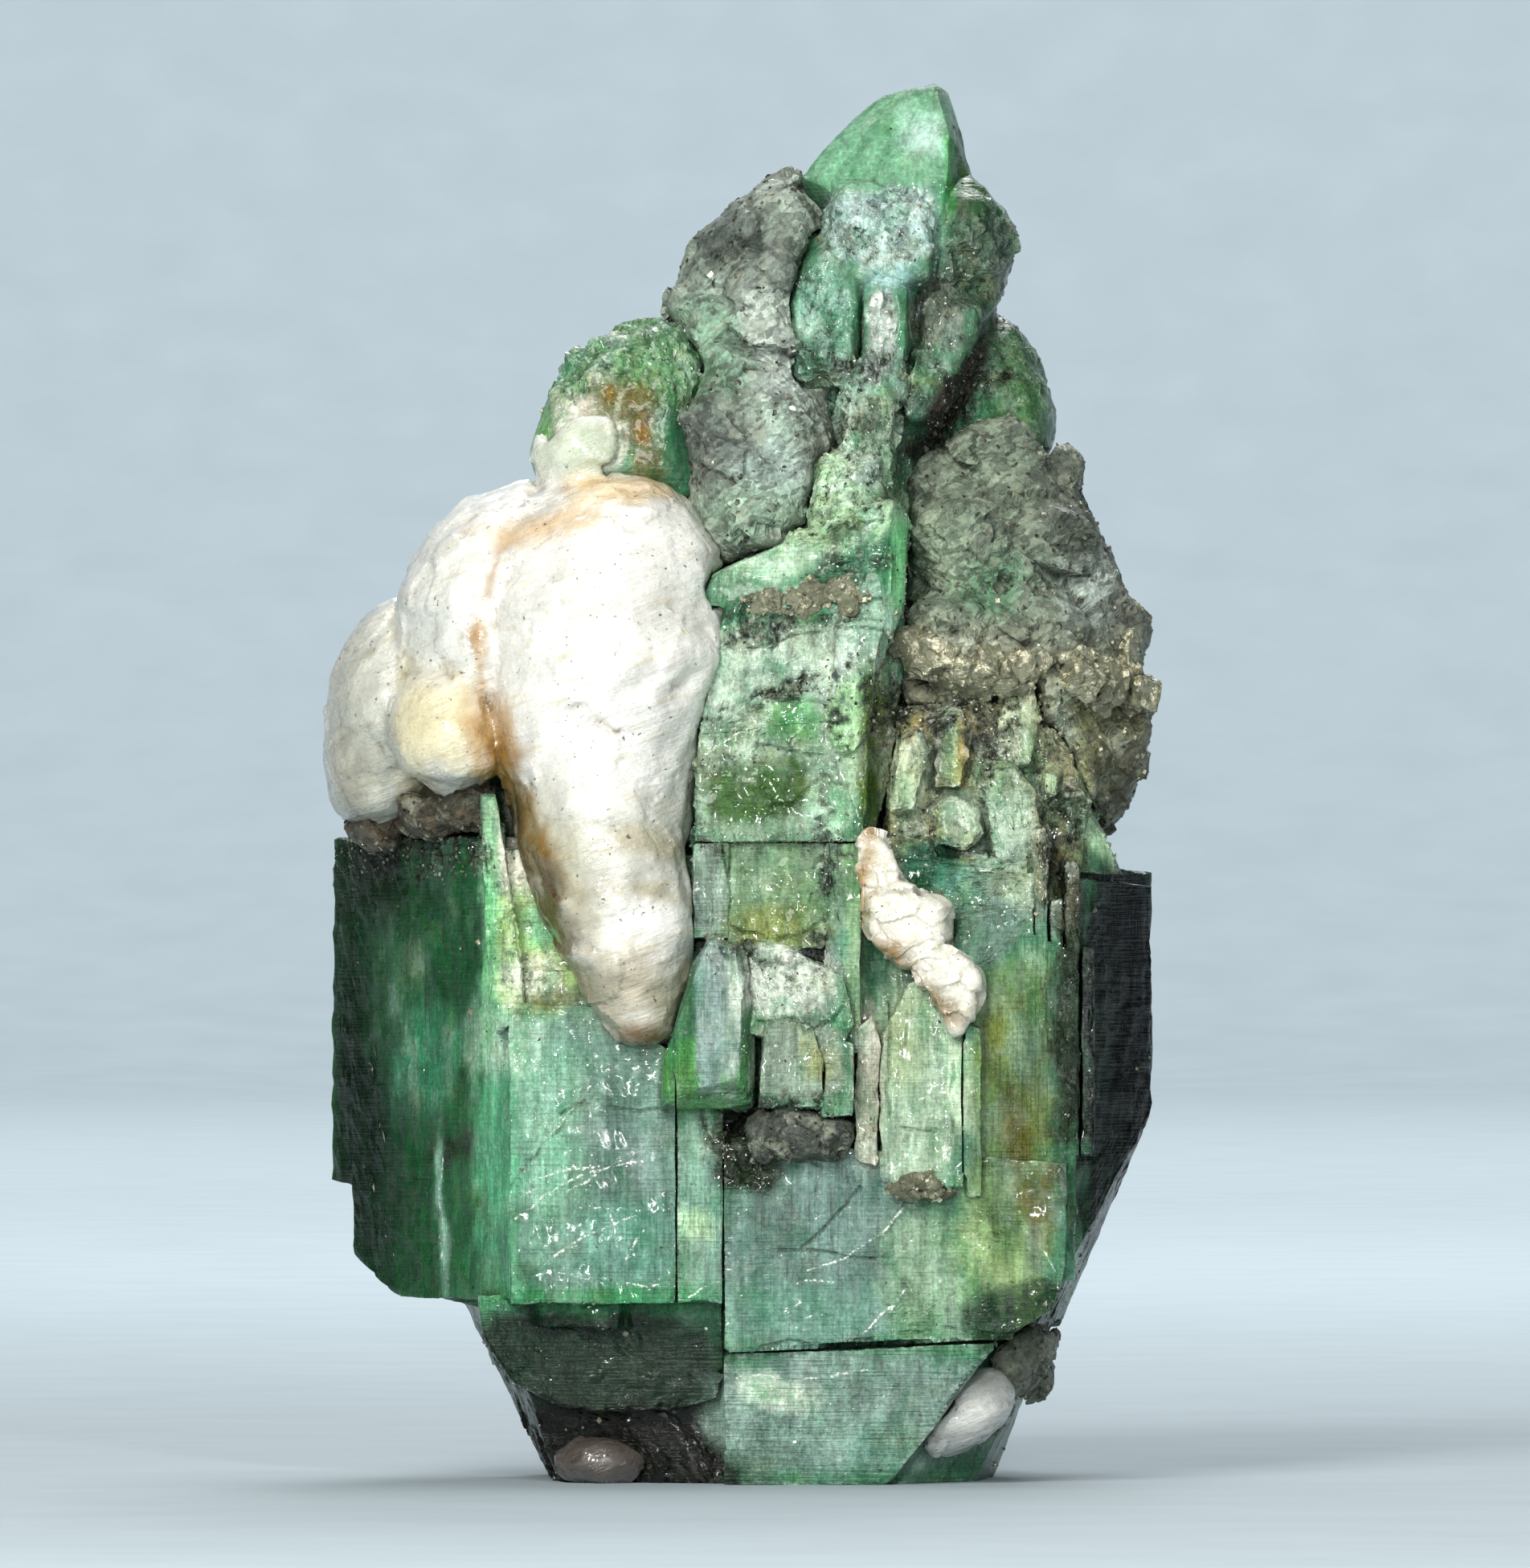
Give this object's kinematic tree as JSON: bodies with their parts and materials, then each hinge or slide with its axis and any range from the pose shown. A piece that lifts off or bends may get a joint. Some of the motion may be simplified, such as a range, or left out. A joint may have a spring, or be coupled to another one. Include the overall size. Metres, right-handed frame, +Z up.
{
  "type": "emerald crystal cluster with pyrite",
  "caption": "Small cluster of parallel emerald prisms with milky quartz lumps, dark mica schist and crumbs of pyrite, standing on its broken foot.",
  "frame": {"origin": "on the resting plane, under the middle of the specimen", "axes": "+Z up along the crystals' length, -Y out of the front seen in the picture, +X to the right seen from the front"},
  "size_m": [0.0104, 0.0096, 0.0176],
  "materials": {
    "emerald": "gloss",
    "quartz": "satin",
    "schist": "satin",
    "pyrite": "satin"
  },
  "bodies": {
    "root": {"emerald_crystals": "emerald", "quartz_lumps": "quartz", "quartz_foot_right": "quartz", "quartz_foot_left": "quartz", "quartz_back": "quartz", "quartz_seam": "quartz", "mica_schist_cap": "schist", "mica_schist_flank": "schist", "mica_schist_back": "schist", "mica_schist_foot": "schist", "mica_schist_left": "schist", "mica_schist_stub": "schist", "pyrite_flank": "pyrite", "pyrite_bar": "pyrite", "pyrite_band": "pyrite", "pyrite_front": "pyrite", "pyrite_back": "pyrite"}
  },
  "joints": []
}
